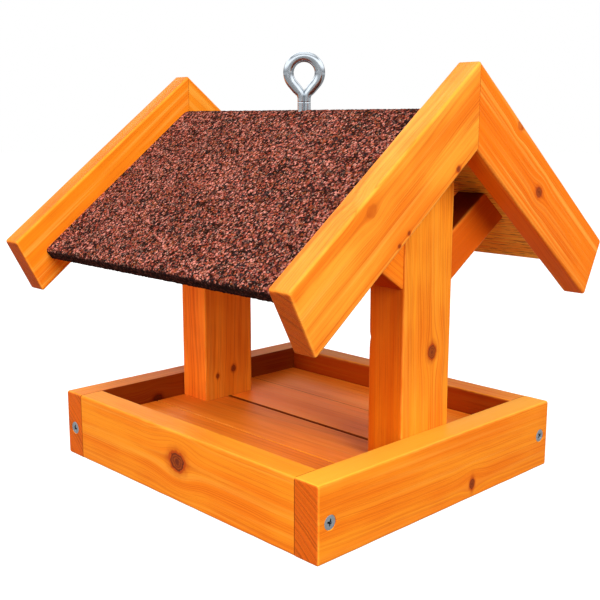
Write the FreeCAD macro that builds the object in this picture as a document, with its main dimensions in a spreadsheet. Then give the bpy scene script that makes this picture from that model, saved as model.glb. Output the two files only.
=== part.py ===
"""Hanging bird table: a gabled roof on two posts over an open, planked tray.

Millimetres, +Z up. X runs across the gable, Y along the ridge, and the origin lies on
the ground under the middle of the tray. Front is -Y and left is -X.
"""
import FreeCAD, Part

import math
import os
import re

import Sketcher
from FreeCAD import Placement, Rotation, Vector

# Driving dimensions, in millimetres and degrees

DIMENSIONS = {
    "tray_width": (196, "across the gable, over the side boards"),
    "tray_length": (220, "along the ridge, over the end boards"),
    "board_height": (40, "tray boards"),
    "board_thickness": (16, "tray boards"),
    "edge_radius": (1.5, "eased edges of boards, posts and arms"),
    "floor_top": (25, "top of the floor planks"),
    "plank_width": (40, "floor planks"),
    "plank_thickness": (9, "floor planks"),
    "drain_gap": (2.4, "open gap between the two middle planks"),
    "plank_joint": (0.4, "closed joint between a middle and an outer plank"),
    "plank_edge_radius": (0.8, "eased top edges of the planks"),
    "cleat_height": (14, "cleats under the floor"),
    "post_width": (40, "across the gable"),
    "post_depth": (24, "along the ridge"),
    "roof_pitch": (37.5, "slope of the panels and bargeboards"),
    "ridge_height": (233, "apex of the bargeboards"),
    "gable_reach": (122, "from the middle to the outer face of a bargeboard"),
    "barge_length": (161, "along the top edge of a bargeboard"),
    "barge_width": (34, "square to the slope"),
    "barge_thickness": (14, "along the ridge"),
    "barge_end_cut": (10, "end cut, away from square towards plumb"),
    "felt_drop": (16, "top of the felt below the bargeboard's top edge"),
    "felt_thickness": (2, "mineral felt"),
    "felt_fold_radius": (2.4, "outside of the felt's folds"),
    "felt_lip": (1.2, "from the felt's turned-down edge to the panel's underside"),
    "panel_thickness": (6, "plywood panel"),
    "panel_length": (148, "down the slope, where a bargeboard's top edge is measured"),
    "arm_pitch": (33, "slope of a roof arm"),
    "arm_width": (23, "square to the arm"),
    "arm_thickness": (19, "along the ridge"),
    "arm_foot": (119.5, "lower corner of an arm on its post"),
    "arm_inset": (1, "arm's face behind the post's face"),
    "beam_width": (28, "ridge beam"),
    "beam_bottom": (162, "underside of the ridge beam"),
    "eye_wire": (6, "diameter of the eye's wire"),
    "eye_radius": (9, "middle of the wire to the middle of the eye"),
    "eye_height": (231.7, "middle of the eye"),
    "eye_throat": (13.8, "middle of the eye to where the two legs meet"),
    "eye_turn": (45, "eye turned away from the gable's plane"),
    "shank_diameter": (7, "eye bolt's shank"),
    "shank_end": (150, "lower end of the shank"),
    "washer_diameter": (18, "washer under the ridge beam"),
    "washer_thickness": (1.6, "washer under the ridge beam"),
    "nut_width": (11.5, "across the nut's corners"),
    "nut_height": (5, "nut under the washer"),
    "head_diameter": (7.6, "countersunk screw head"),
    "head_depth": (2.4, "countersunk screw head"),
    "screw_diameter": (3.8, "wood screw shank"),
    "screw_tip": (4, "taper at the point of a screw"),
    "recess_span": (4.2, "cross recess, end to end"),
    "recess_slot": (1.0, "cross recess, width of an arm"),
    "recess_depth": (1.5, "cross recess"),
    "corner_screw_length": (40, "screw through an end board into a side board"),
    "grain_screw_length": (30, "screw in the end grain of the back end board"),
    "foot_screw_length": (50, "screw up into a post"),
    "cleat_screw_length": (35, "screw through a cleat into an end board"),
    "beam_screw_length": (60, "screw through a post into the ridge beam"),
    "back_screw_height": (11, "corner screws of the back end board"),
    "grain_screw_height": (17.5, "end grain screw of the back end board"),
    "foot_screw_place": (10, "from the middle of a post"),
    "cleat_screw_place": (60, "from the middle of a cleat"),
    "beam_screw_height": (175, "screw through a post into the ridge beam"),
    "brad_diameter": (1.6, "brads and nails"),
    "brad_head": (3.6, "brads and nails"),
    "brad_head_depth": (0.8, "brads and nails"),
    "brad_length": (20, "brad through a cleat into a plank"),
    "inner_brad_place": (31, "from the middle of the floor"),
    "outer_brad_place": (50, "from the middle of the floor, nearer one"),
    "side_brad_place": (72, "from the middle of the floor, farther one"),
    "nail_length": (16, "nail through a panel"),
    "ridge_nail_place": (32, "down the slope, into a post or the ridge beam"),
    "beam_nail_place": (60, "from the middle of the ridge beam"),
    "upper_nail_place": (85, "down the slope, into an arm"),
    "lower_nail_place": (97, "down the slope, into an arm"),
    "pin_diameter": (1.2, "blind pin in a bargeboard"),
    "pin_length": (20, "blind pin in a bargeboard"),
    "pin_cover": (4, "filler over a pin's end"),
    "first_pin_place": (32, "down the slope"),
    "pin_spacing": (34, "down the slope"),
    "dowel_diameter": (6, "dowel between a post and an arm"),
    "dowel_length": (24, "dowel between a post and an arm"),
    "dowel_height": (134, "dowel between a post and an arm"),
}

# Lengths worked out from the dimensions, used in several pieces

HALF_INSIDE_LENGTH = "(tray_length / 2 - board_thickness)"
HALF_INSIDE_WIDTH = "(tray_width / 2 - board_thickness)"
PANEL_TOP = "(felt_drop + felt_thickness)"
PANEL_UNDERSIDE = "(felt_drop + felt_thickness + panel_thickness)"
POST_MIDDLE = "(tray_length / 2 - board_thickness - post_depth / 2)"
ARM_MIDDLE = "(tray_length / 2 - board_thickness - arm_inset - arm_thickness / 2)"
GABLE_INSIDE = "(gable_reach - barge_thickness)"
CLEAT_BOTTOM = "(floor_top - plank_thickness - cleat_height)"
MID_HEIGHT = "(board_height / 2)"
PINS_PER_BOARD = 4

LEFT = "-1"
RIGHT = "1"
ACROSS = Vector(1, 0, 0)
ALONG = Vector(0, 1, 0)
UP = Vector(0, 0, 1)
CLOSE = 0.5

doc = FreeCAD.newDocument("BirdTable")
sheet = doc.addObject("Spreadsheet::Sheet", "Dimensions")
for row, (alias, (value, note)) in enumerate(DIMENSIONS.items(), start=1):
    sheet.set(f"A{row}", alias)
    sheet.set(f"B{row}", str(value))
    sheet.setAlias(f"B{row}", alias)
    sheet.set(f"C{row}", note)
doc.recompute()


# Helpers that bind sizes to the sheet

def formula(text):
    """Turn the sheet's aliases in a formula into references to its cells."""
    def cell(match):
        word = match.group()
        return f"Dimensions.{word}" if word in DIMENSIONS else word
    return re.sub(r"[a-z_]+", cell, text)


def place(obj, x="0", y="0", z="0", rotation=None):
    """Put an object at a point given by three formulas."""
    if rotation is not None:
        obj.Placement = Placement(Vector(0, 0, 0), rotation)
    for axis, text in zip("xyz", (x, y, z)):
        obj.setExpression(f"Placement.Base.{axis}", formula(text))


def origin_plane(body, role):
    """The body's own origin plane with that role, such as XY_Plane."""
    return next(f for f in body.Origin.OriginFeatures if f.Role == role)


def outline_sketch(body, plane, points):
    """A closed outline whose corners are bound to pairs of formulas."""
    sketch = body.newObject("Sketcher::SketchObject", "Outline")
    sketch.AttachmentSupport = [(origin_plane(body, plane), "")]
    sketch.MapMode = "FlatFace"
    count = len(points)
    rough = [Vector(10, 0, 0)]
    for step in range(1, count):
        rough.append(Rotation(UP, 360 * step / count).multVec(rough[0]))
    for index in range(count):
        sketch.addGeometry(Part.LineSegment(rough[index], rough[(index + 1) % count]))
    for index in range(count):
        following = (index + 1) % count
        sketch.addConstraint(Sketcher.Constraint("Coincident", index, 2, following, 1))
    for index, corner in enumerate(points):
        for kind, text in zip(("DistanceX", "DistanceY"), corner):
            number = sketch.addConstraint(Sketcher.Constraint(kind, -1, 1, index, 1, 1.0))
            sketch.renameConstraint(number, f"{kind}{index}")
            sketch.setExpression(f"Constraints.{kind}{index}", formula(text))
    return sketch


def prism(name, plane, points, depth, x="0", y="0", z="0"):
    """A body padded evenly to both sides of an outline."""
    body = doc.addObject("PartDesign::Body", name)
    pad = body.newObject("PartDesign::Pad", "Pad")
    pad.Profile = outline_sketch(body, plane, points)
    pad.SideType = "Symmetric"
    pad.setExpression("Length", formula(depth))
    place(body, x, y, z)
    doc.recompute()
    return body


def rectangle(width, bottom, top):
    """Corners of a rectangle centred on the sketch's upright axis."""
    return [(f"-({width}) / 2", bottom), (f"({width}) / 2", bottom),
            (f"({width}) / 2", top), (f"-({width}) / 2", top)]


def ease_edges(body, radius, wanted):
    """Round the edges of a body's solid that a test picks."""
    solid = body.Tip
    names = [f"Edge{number}" for number, edge in enumerate(solid.Shape.Edges, start=1)
             if wanted(edge)]
    fillet = body.newObject("PartDesign::Fillet", "EasedEdges")
    fillet.Base = (solid, names)
    fillet.setExpression("Radius", formula(radius))
    doc.recompute()
    return body


def runs(direction):
    """A test for straight edges along a direction."""
    def test(edge):
        line = edge.Vertexes[-1].Point - edge.Vertexes[0].Point
        return line.Length > 0 and abs(line.normalize().dot(direction)) > 0.999
    return test


# Points on the roof, measured down a bargeboard's top edge and square below it

def roof_point(side, down, below):
    return (f"{side} * (({down}) * cos(roof_pitch) - {below} * sin(roof_pitch))",
            f"ridge_height - ({down}) * sin(roof_pitch) - {below} * cos(roof_pitch)")


def ridge_point(below):
    return "0", f"ridge_height - {below} / cos(roof_pitch)"


def under_panel(x):
    """Height of the panels' underside at a distance from the middle."""
    return f"ridge_height - {PANEL_UNDERSIDE} / cos(roof_pitch) - ({x}) * tan(roof_pitch)"


# Fasteners: one of each kind, mirrored into its group

def turned_body(name, profile, x, y, z, rotation):
    """A body of revolution about its own Z axis, from pairs of radius and height."""
    body = doc.addObject("PartDesign::Body", name)
    turn = body.newObject("PartDesign::Revolution", "Turn")
    sketch = outline_sketch(body, "XZ_Plane", profile)
    turn.Profile = sketch
    turn.ReferenceAxis = (sketch, ["V_Axis"])
    turn.Angle = 360
    place(body, x, y, z, rotation)
    doc.recompute()
    return body


def headed_profile(head, head_depth, shank, length, tip):
    """Head flush at the top, shank and pointed end below it."""
    return [("0", "0"), (f"{head} / 2", "0"), (f"{shank} / 2", f"-{head_depth}"),
            (f"{shank} / 2", f"-({length} - {tip})"), ("0", f"-{length}")]


def plain_profile(diameter, length):
    return [("0", "0"), (f"{diameter} / 2", "0"), (f"{diameter} / 2", f"-{length}"),
            ("0", f"-{length}")]


def mirrored(source, normals):
    """The source and its mirror images in the planes through the origin."""
    copies = [source]
    for normal in normals:
        for original in list(copies):
            image = doc.addObject("Part::Mirroring", "Image")
            image.Source = original
            image.Base = Vector(0, 0, 0)
            image.Normal = normal
            copies.append(image)
    return copies


def group(name, members):
    compound = doc.addObject("Part::Compound", name)
    compound.Links = members
    doc.recompute()
    return compound


def fasteners(name, profile, places, rotation, normals=(ACROSS, ALONG)):
    """A group of like fasteners at each place and at its mirror images."""
    members = []
    for x, y, z in places:
        one = turned_body(f"{name}_one", profile, x, y, z, rotation)
        members += mirrored(one, normals)
    return group(name, members)


def cross_recess(name, places, rotation, normals):
    """Cross-shaped prisms that sink into the heads of a group of screws."""
    reach = "recess_span / 2"
    half = "recess_slot / 2"
    members = []
    for x, y, z in places:
        for width, height in ((reach, half), (half, reach)):
            bar = doc.addObject("PartDesign::Body", "RecessBar")
            pad = bar.newObject("PartDesign::Pad", "Pad")
            pad.Profile = outline_sketch(bar, "XY_Plane", rectangle(
                f"2 * {width}", f"-{height}", height))
            pad.setExpression("Length", formula("2 * recess_depth"))
            pad.SideType = "Symmetric"
            place(bar, x, y, z, rotation)
            members += mirrored(bar, normals)
    doc.recompute()
    return group(name, members)


def cut(name, base, tool):
    result = doc.addObject("Part::Cut", name)
    result.Base = base
    result.Tool = tool
    doc.recompute()
    return result


def drilled(name, base, *groups):
    """A piece with clearance holes that fit its fasteners exactly."""
    tool = groups[0] if len(groups) == 1 else group(f"{name}_holes", list(groups))
    return cut(name, base, tool)


nodes = {}


def node(name, obj):
    """Name a finished sub-part; its label is its file name."""
    obj.Label = name
    nodes[name] = obj


# Screws, nails, pins and dowels

SCREW = ("head_diameter", "head_depth", "screw_diameter")
INTO_FRONT = Rotation(ACROSS, 90)
INTO_LEFT = Rotation(ALONG, -90)
UPWARDS = Rotation(ACROSS, 180)
OUT_OF_FRONT = Rotation(ACROSS, -90)


def screw_profile(length):
    return headed_profile(*SCREW, length, "screw_tip")


def brad_profile(length):
    return headed_profile("brad_head", "brad_head_depth", "brad_diameter", length, "brad_diameter")


SIDE_MIDDLE = "-(tray_width - board_thickness) / 2"
END_MIDDLE = "(tray_length - board_thickness) / 2"

front_places = [(SIDE_MIDDLE, "-tray_length / 2", MID_HEIGHT)]
front_blanks = fasteners("FrontScrews", screw_profile("corner_screw_length"), front_places,
                         INTO_FRONT, (ACROSS,))
front_recess = cross_recess("FrontRecesses", front_places, INTO_FRONT, (ACROSS,))

back_places = [(SIDE_MIDDLE, "tray_length / 2", "back_screw_height")]
back_blanks = fasteners("BackScrews", screw_profile("corner_screw_length"), back_places,
                        OUT_OF_FRONT, (ACROSS,))
back_recess = cross_recess("BackRecesses", back_places, OUT_OF_FRONT, (ACROSS,))

grain_places = [("-tray_width / 2", END_MIDDLE, "grain_screw_height")]
grain_blanks = fasteners("GrainScrews", screw_profile("grain_screw_length"), grain_places,
                         INTO_LEFT, (ACROSS,))
grain_recess = cross_recess("GrainRecesses", grain_places, INTO_LEFT, (ACROSS,))

foot_screws = fasteners("FootScrews", screw_profile("foot_screw_length"),
                        [("foot_screw_place", f"-{POST_MIDDLE}", CLEAT_BOTTOM)], UPWARDS)
cleat_screws = fasteners("CleatScrews", screw_profile("cleat_screw_length"),
                         [("cleat_screw_place", f"-({HALF_INSIDE_LENGTH} - post_depth)",
                           f"{CLEAT_BOTTOM} + cleat_height / 2")], OUT_OF_FRONT)
brad_places = [(x, f"-{POST_MIDDLE}", CLEAT_BOTTOM)
               for x in ("inner_brad_place", "outer_brad_place", "side_brad_place")]
floor_brads = fasteners("FloorBrads", brad_profile("brad_length"), brad_places, UPWARDS)
beam_screws = fasteners("BeamScrews", screw_profile("beam_screw_length"),
                        [("0", f"-{HALF_INSIDE_LENGTH}", "beam_screw_height")],
                        INTO_FRONT, (ALONG,))
arm_dowels = fasteners("ArmDowels", plain_profile("dowel_diameter", "dowel_length"),
                       [("post_width / 2 + dowel_length / 2", f"-{ARM_MIDDLE}", "dowel_height")],
                       Rotation(ALONG, 90))

nail_places = []
for down, along in (("ridge_nail_place", "beam_nail_place"), ("ridge_nail_place", POST_MIDDLE),
                    ("upper_nail_place", POST_MIDDLE), ("lower_nail_place", POST_MIDDLE)):
    nail_x, nail_z = roof_point(RIGHT, down, PANEL_TOP)
    nail_places.append((nail_x, along, nail_z))
panel_nails = fasteners("PanelNails", brad_profile("nail_length"), nail_places,
                        Rotation(ALONG, 1))
for member in panel_nails.Links:
    if member.isDerivedFrom("PartDesign::Body"):
        member.setExpression("Placement.Rotation.Angle", formula("roof_pitch"))

pin_places = []
for number in range(PINS_PER_BOARD):
    pin_x, pin_z = roof_point(RIGHT, f"first_pin_place + {number} * pin_spacing",
                              f"({PANEL_TOP} + panel_thickness / 2)")
    pin_places.append((pin_x, "-(gable_reach - pin_cover)", pin_z))
barge_pins = fasteners("BargePins", plain_profile("pin_diameter", "pin_length"), pin_places,
                       INTO_FRONT)

node("tray_front_screws", cut("FrontScrewHeads", front_blanks, front_recess))
node("tray_back_screws", cut("BackScrewHeads", back_blanks, back_recess))
node("tray_end_grain_screws", cut("GrainScrewHeads", grain_blanks, grain_recess))
node("post_foot_screws", foot_screws)
node("cleat_screws", cleat_screws)
node("floor_brads", floor_brads)
node("ridge_beam_screws", beam_screws)
node("roof_arm_dowels", arm_dowels)
node("roof_panel_nails", panel_nails)
node("bargeboard_pins", barge_pins)

# Tray: two full-width end boards, with the side boards between them

end_outline = rectangle("tray_width", "0", "board_height")
side_outline = rectangle(f"2 * {HALF_INSIDE_LENGTH}", "0", "board_height")


def away_from_joint(outward):
    """A test for the edges of an end board that don't meet the side boards."""
    def test(edge):
        return outward * edge.CenterOfMass.y > -CLOSE
    return test


for name, outward, screws in (("front", -1, [front_blanks, cleat_screws]),
                              ("back", 1, [back_blanks, grain_blanks, cleat_screws])):
    board = prism(f"EndBoard_{name}", "XZ_Plane", end_outline, "board_thickness",
                  y=f"{outward} * {END_MIDDLE}")
    ease_edges(board, "edge_radius", away_from_joint(outward))
    node(f"tray_end_board_{name}", drilled(f"EndBoard_{name}_drilled", board, *screws))

for name, sign in (("left", ""), ("right", "-")):
    board = prism(f"SideBoard_{name}", "YZ_Plane", side_outline, "board_thickness",
                  x=f"{sign}({SIDE_MIDDLE})")
    ease_edges(board, "edge_radius", runs(ALONG))
    node(f"tray_side_board_{name}",
         drilled(f"SideBoard_{name}_drilled", board, front_blanks, back_blanks))

# Floor: four planks along the ridge, on two cleats

plank_outline = rectangle("plank_width", "floor_top - plank_thickness", "floor_top")
INNER_PLANK = "(drain_gap + plank_width) / 2"
OUTER_PLANK = "(drain_gap + 3 * plank_width) / 2 + plank_joint"
FLOOR_TOP = DIMENSIONS["floor_top"][0]


def on_floor_top(edge):
    return runs(ALONG)(edge) and abs(edge.CenterOfMass.z - FLOOR_TOP) < CLOSE


for name, x in (("left_outer", f"-({OUTER_PLANK})"), ("left_inner", f"-({INNER_PLANK})"),
                ("right_inner", INNER_PLANK), ("right_outer", OUTER_PLANK)):
    plank = prism(f"Plank_{name}", "XZ_Plane", plank_outline, f"2 * {HALF_INSIDE_LENGTH}", x=x)
    ease_edges(plank, "plank_edge_radius", on_floor_top)
    screws = [floor_brads, foot_screws] if "inner" in name else [floor_brads]
    node(f"floor_plank_{name}", drilled(f"Plank_{name}_drilled", plank, *screws))

cleat_outline = rectangle(f"2 * {HALF_INSIDE_WIDTH}", CLEAT_BOTTOM, "floor_top - plank_thickness")
for name, sign in (("front", "-"), ("back", "")):
    cleat = prism(f"Cleat_{name}", "XZ_Plane", cleat_outline, "post_depth",
                  y=f"{sign}{POST_MIDDLE}")
    node(f"floor_cleat_{name}",
         drilled(f"Cleat_{name}_drilled", cleat, foot_screws, cleat_screws, floor_brads))

# Posts, ridge beam and arms, cut to the slope of the roof where they meet it

post_outline = [("-post_width / 2", "floor_top"), ("post_width / 2", "floor_top"),
                ("post_width / 2", under_panel("post_width / 2")), ("0", under_panel("0")),
                ("-post_width / 2", under_panel("post_width / 2"))]
for name, sign in (("front", "-"), ("back", "")):
    post = prism(f"Post_{name}", "XZ_Plane", post_outline, "post_depth", y=f"{sign}{POST_MIDDLE}")
    ease_edges(post, "edge_radius", runs(UP))
    node(f"post_{name}", drilled(f"Post_{name}_drilled", post, foot_screws, arm_dowels,
                                 beam_screws, panel_nails))

shank_hole = doc.addObject("Part::Cylinder", "ShankHole")
shank_hole.setExpression("Radius", formula("shank_diameter / 2"))
shank_hole.setExpression("Height", formula("ridge_height - shank_end"))
place(shank_hole, z="shank_end")

beam_outline = [("-beam_width / 2", "beam_bottom"), ("beam_width / 2", "beam_bottom"),
                ("beam_width / 2", under_panel("beam_width / 2")), ("0", under_panel("0")),
                ("-beam_width / 2", under_panel("beam_width / 2"))]
beam = prism("Beam", "XZ_Plane", beam_outline, f"2 * ({HALF_INSIDE_LENGTH} - post_depth)")
node("ridge_beam", drilled("Beam_drilled", beam, beam_screws, panel_nails, shank_hole))


def arm_outline(side):
    """An arm from a post's side up to the underside of a panel."""
    rise = "tan(arm_pitch)"
    fall = "tan(roof_pitch)"
    post_side = "post_width / 2"
    head = "(arm_foot + arm_width / cos(arm_pitch))"

    def meeting(foot):
        reach = f"({under_panel('0')} - {foot} + {post_side} * {rise}) / ({rise} + {fall})"
        return f"{side} * {reach}", under_panel(reach)

    return [(f"{side} * {post_side}", "arm_foot"), meeting("arm_foot"), meeting(head),
            (f"{side} * {post_side}", head)]


for end, sign in (("front", "-"), ("back", "")):
    for hand, side, turn in (("left", LEFT, 1), ("right", RIGHT, -1)):
        arm = prism(f"Arm_{end}_{hand}", "XZ_Plane", arm_outline(side), "arm_thickness",
                    y=f"{sign}{ARM_MIDDLE}")
        slope = Rotation(ALONG, turn * DIMENSIONS["arm_pitch"][0]).multVec(ACROSS)
        ease_edges(arm, "edge_radius", runs(slope))
        node(f"roof_arm_{end}_{hand}",
             drilled(f"Arm_{end}_{hand}_drilled", arm, arm_dowels, panel_nails))

# Roof: two thin panels, mitred at the ridge, under one folded sheet of felt

for hand, side in (("left", LEFT), ("right", RIGHT)):
    outline = [ridge_point(PANEL_TOP), roof_point(side, "panel_length", PANEL_TOP),
               roof_point(side, "panel_length", PANEL_UNDERSIDE), ridge_point(PANEL_UNDERSIDE)]
    panel = prism(f"Panel_{hand}", "XZ_Plane", outline, f"2 * {GABLE_INSIDE}")
    node(f"roof_panel_{hand}",
         drilled(f"Panel_{hand}_drilled", panel, panel_nails, barge_pins, shank_hole))

felt_edge = "panel_length + felt_thickness"
felt_foot = f"({PANEL_UNDERSIDE} - felt_lip)"
felt_outline = [ridge_point("felt_drop"), roof_point(RIGHT, felt_edge, "felt_drop"),
                roof_point(RIGHT, felt_edge, felt_foot),
                roof_point(RIGHT, "panel_length", felt_foot),
                roof_point(RIGHT, "panel_length", PANEL_TOP), ridge_point(PANEL_TOP),
                roof_point(LEFT, "panel_length", PANEL_TOP),
                roof_point(LEFT, "panel_length", felt_foot),
                roof_point(LEFT, felt_edge, felt_foot),
                roof_point(LEFT, felt_edge, "felt_drop")]
felt = prism("Felt", "XZ_Plane", felt_outline, f"2 * {GABLE_INSIDE}")


def on_felt_fold(edge):
    """The three outer folds: at the ridge and along both eaves."""
    box = felt.Shape.BoundBox
    at_ridge = abs(edge.CenterOfMass.z - box.ZMax) < CLOSE
    at_eave = abs(abs(edge.CenterOfMass.x) - box.XMax) < CLOSE
    return runs(ALONG)(edge) and (at_ridge or at_eave)


ease_edges(felt, "felt_fold_radius", on_felt_fold)
node("roofing_felt", drilled("Felt_drilled", felt, shank_hole))

# Bargeboards: mitred at the ridge, proud of the felt and longer than the panels

barge_foot = "barge_length + barge_width * tan(barge_end_cut)"
for end, sign in (("front", "-"), ("back", "")):
    for hand, side in (("left", LEFT), ("right", RIGHT)):
        outline = [ridge_point("0"), roof_point(side, "barge_length", "0"),
                   roof_point(side, barge_foot, "barge_width"), ridge_point("barge_width")]
        board = prism(f"Barge_{end}_{hand}", "XZ_Plane", outline, "barge_thickness",
                      y=f"{sign}(gable_reach - barge_thickness / 2)")
        ease_edges(board, "edge_radius", lambda edge: abs(edge.CenterOfMass.x) > CLOSE)
        node(f"bargeboard_{end}_{hand}",
             drilled(f"Barge_{end}_{hand}_drilled", board, barge_pins))

# Eye bolt: wire bent to a closed drop-shaped eye, over a thicker shank

EYE_RADIUS = DIMENSIONS["eye_radius"][0]
EYE_THROAT = DIMENSIONS["eye_throat"][0]
LEG_ANGLE = "asin(eye_radius / eye_throat)"
FACING = Rotation(UP, -DIMENSIONS["eye_turn"][0])
ARC_START = Rotation(UP, -math.degrees(math.asin(EYE_RADIUS / EYE_THROAT)))


def rod(name, radius, height):
    bar = doc.addObject("Part::Cylinder", name)
    bar.setExpression("Radius", formula(radius))
    bar.setExpression("Height", formula(height))
    return bar


ring = doc.addObject("Part::Torus", "EyeRing")
ring.setExpression("Radius1", formula("eye_radius"))
ring.setExpression("Radius2", formula("eye_wire / 2"))
ring.setExpression("Angle3", formula(f"180 deg + 2 * {LEG_ANGLE}"))
place(ring, z="eye_height",
      rotation=FACING.multiply(Rotation(ACROSS, 90)).multiply(ARC_START))
eye_pieces = [ring]
for hinge in (ALONG, ALONG.negative()):
    leg = rod("EyeLeg", "eye_wire / 2", "sqrt(eye_throat ^ 2 - eye_radius ^ 2)")
    place(leg, z="eye_height - eye_throat", rotation=Rotation(FACING.multVec(hinge), 1))
    leg.setExpression("Placement.Rotation.Angle", formula(LEG_ANGLE))
    eye_pieces.append(leg)
fork = doc.addObject("Part::Sphere", "EyeFork")
fork.setExpression("Radius", formula("shank_diameter / 2"))
place(fork, z="eye_height - eye_throat")
shank = rod("EyeShank", "shank_diameter / 2", "eye_height - eye_throat - shank_end")
place(shank, z="shank_end")
eye = doc.addObject("Part::MultiFuse", "EyeBolt")
eye.Shapes = eye_pieces + [fork, shank]
eye.Refine = True
node("eye_bolt", eye)

washer = rod("WasherDisc", "washer_diameter / 2", "washer_thickness")
place(washer, z="beam_bottom - washer_thickness")
node("eye_bolt_washer", drilled("Washer", washer, shank_hole))

nut = doc.addObject("Part::Prism", "NutBlank")
nut.Polygon = 6
nut.setExpression("Circumradius", formula("nut_width / 2"))
nut.setExpression("Height", formula("nut_height"))
place(nut, z="beam_bottom - washer_thickness - nut_height")
node("eye_bolt_nut", drilled("Nut", nut, shank_hole))

doc.recompute()

# Checks before anything is written

for obj in doc.Objects:
    if "Invalid" in obj.State or "Error" in obj.State:
        raise RuntimeError(f"{obj.Name} ({obj.Label}) did not build: {obj.State}")
for name, obj in nodes.items():
    if obj.Shape.isNull() or not obj.Shape.isValid():
        raise RuntimeError(f"{name} has no valid shape")

os.makedirs("parts", exist_ok=True)
for name, obj in nodes.items():
    obj.Shape.exportStep(f"parts/{name}.step")
    box = obj.Shape.BoundBox
    print(f"{name}: {len(obj.Shape.Solids)} solid(s), {obj.Shape.Volume / 1000:.1f} cm3, "
          f"x {box.XMin:.1f} to {box.XMax:.1f}, y {box.YMin:.1f} to {box.YMax:.1f}, "
          f"z {box.ZMin:.1f} to {box.ZMax:.1f}")
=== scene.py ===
# Looks, light and camera of a hanging bird table. The frame gives every piece its place.
# Lengths in the mesh code are millimetres; new_mesh turns them into metres.
import math
from collections import namedtuple

import bmesh
import bpy
import numpy as np
from bpy.props import FloatProperty, FloatVectorProperty, PointerProperty
from mathutils import Matrix, Vector


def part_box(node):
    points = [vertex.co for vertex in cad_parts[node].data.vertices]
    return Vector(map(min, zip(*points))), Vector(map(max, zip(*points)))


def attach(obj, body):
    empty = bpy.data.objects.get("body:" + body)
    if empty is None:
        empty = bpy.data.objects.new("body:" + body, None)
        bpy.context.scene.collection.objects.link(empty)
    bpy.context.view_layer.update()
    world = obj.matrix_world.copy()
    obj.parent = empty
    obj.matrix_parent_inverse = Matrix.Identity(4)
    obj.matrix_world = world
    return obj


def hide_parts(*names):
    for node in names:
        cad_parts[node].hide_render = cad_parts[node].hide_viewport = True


bl_info = {
    "name": "Bird Table",
    "version": (1, 0, 0),
    "blender": (4, 5, 0),
    "location": "3D View > Sidebar > Bird Table",
    "description": "Dresses the hanging bird table: stained pine, mineral felt and zinc",
    "category": "Object",
}

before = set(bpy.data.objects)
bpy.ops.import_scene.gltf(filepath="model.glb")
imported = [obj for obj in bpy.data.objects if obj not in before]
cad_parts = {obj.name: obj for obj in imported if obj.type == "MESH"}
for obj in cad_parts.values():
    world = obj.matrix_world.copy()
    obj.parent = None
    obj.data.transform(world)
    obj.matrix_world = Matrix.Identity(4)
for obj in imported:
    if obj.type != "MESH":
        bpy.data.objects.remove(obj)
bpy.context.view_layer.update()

X, Y, Z = np.eye(3)
MM = 1000

# Sizes as built: lengths down a slope start at the ridge, depths at a bargeboard's top edge
PITCH = math.radians(37.5)
RISE, RUN, FALL = math.sin(PITCH), math.cos(PITCH), math.tan(PITCH)
RIDGE = 233.0
BARGE_WIDTH = 34.0
BARGE_LENGTH = 161.0
BARGE_END_CUT = math.radians(10)
FELT_DROP = 16.0
FELT_THICK = 2.0
FELT_FOLD = 2.4
FELT_FOOT = 22.8
FELT_HALF_LENGTH = 108.0
PANEL_LENGTH = 148.0
PANEL_UNDERSIDE = 24.0
POST_PEAK = RIDGE - PANEL_UNDERSIDE / RUN
POST_HALF_WIDTH = 20.0
POST_FACE = 94.0
ARM_PITCH = math.radians(33)
ARM_WIDTH = 23.0
ARM_FOOT = 119.5
EYE_CENTRE = 231.66
EYE_RADIUS = 9.0
EYE_WIRE = 3.0
EYE_THROAT = 13.8
HEAD_RADIUS = 3.8
BEAM_SCREW_HEIGHT = 175
SCREW_PLACES = {
    "tray_front_screws": [(-90, -110, 20), (90, -110, 20)],
    "tray_back_screws": [(-90, 110, 11), (90, 110, 11)],
    "tray_end_grain_screws": [(-98, 102, 17.5), (98, 102, 17.5)],
}
ENDS = (("front", -1), ("back", 1))
HANDS = (("left", -1), ("right", 1))


def extent(node):
    """Lowest and highest corner of a CAD node, in millimetres."""
    low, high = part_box(node)
    return np.array(low) * MM, np.array(high) * MM


def slope_axes(side):
    """Down the slope of a roof side, square to it and downwards, and along the ridge."""
    return np.array((side * RUN, 0, -RISE)), np.array((-side * RISE, 0, -RUN)), Y


# Settings


def colour(name, description, default):
    return FloatVectorProperty(
        name=name, description=description, default=default, subtype="COLOR", size=3, min=0, max=1)


def number(name, description, default, **limits):
    return FloatProperty(name=name, description=description, default=default, **limits)


def length(name, description, default):
    return number(name, description, default, unit="LENGTH", min=0, precision=5)


def angle(name, description, degrees):
    return number(name, description, math.radians(degrees), subtype="ANGLE")


def power(name, description, default):
    return number(name, description, default, min=0, unit="POWER")


class PineSettings(bpy.types.PropertyGroup):
    light: colour("Light wood", "Stained earlywood", (0.76, 0.245, 0.012))
    deep: colour("Deep wood", "Darker bands of the stain", (0.68, 0.136, 0.005))
    latewood: colour("Latewood", "Dark line of each growth ring", (0.44, 0.063, 0.003))
    knot: colour("Knot", "Heart of a knot", (0.18, 0.028, 0.006))
    end_grain: colour("End grain", "Sawn ends, which take more stain", (0.56, 0.090, 0.005))
    spacing: length("Ring spacing", "Growth ring to growth ring", 0.0030)
    roughness: number("Roughness", "Of the dried stain", 0.46, min=0, max=1)


class FloorSettings(bpy.types.PropertyGroup):
    light: colour("Light wood", "Stained planks, lighter parts", (0.86, 0.225, 0.016))
    deep: colour("Deep wood", "Stained planks, darker parts", (0.66, 0.130, 0.008))
    latewood: colour("Latewood", "Dark line of each growth ring", (0.34, 0.050, 0.005))


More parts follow.
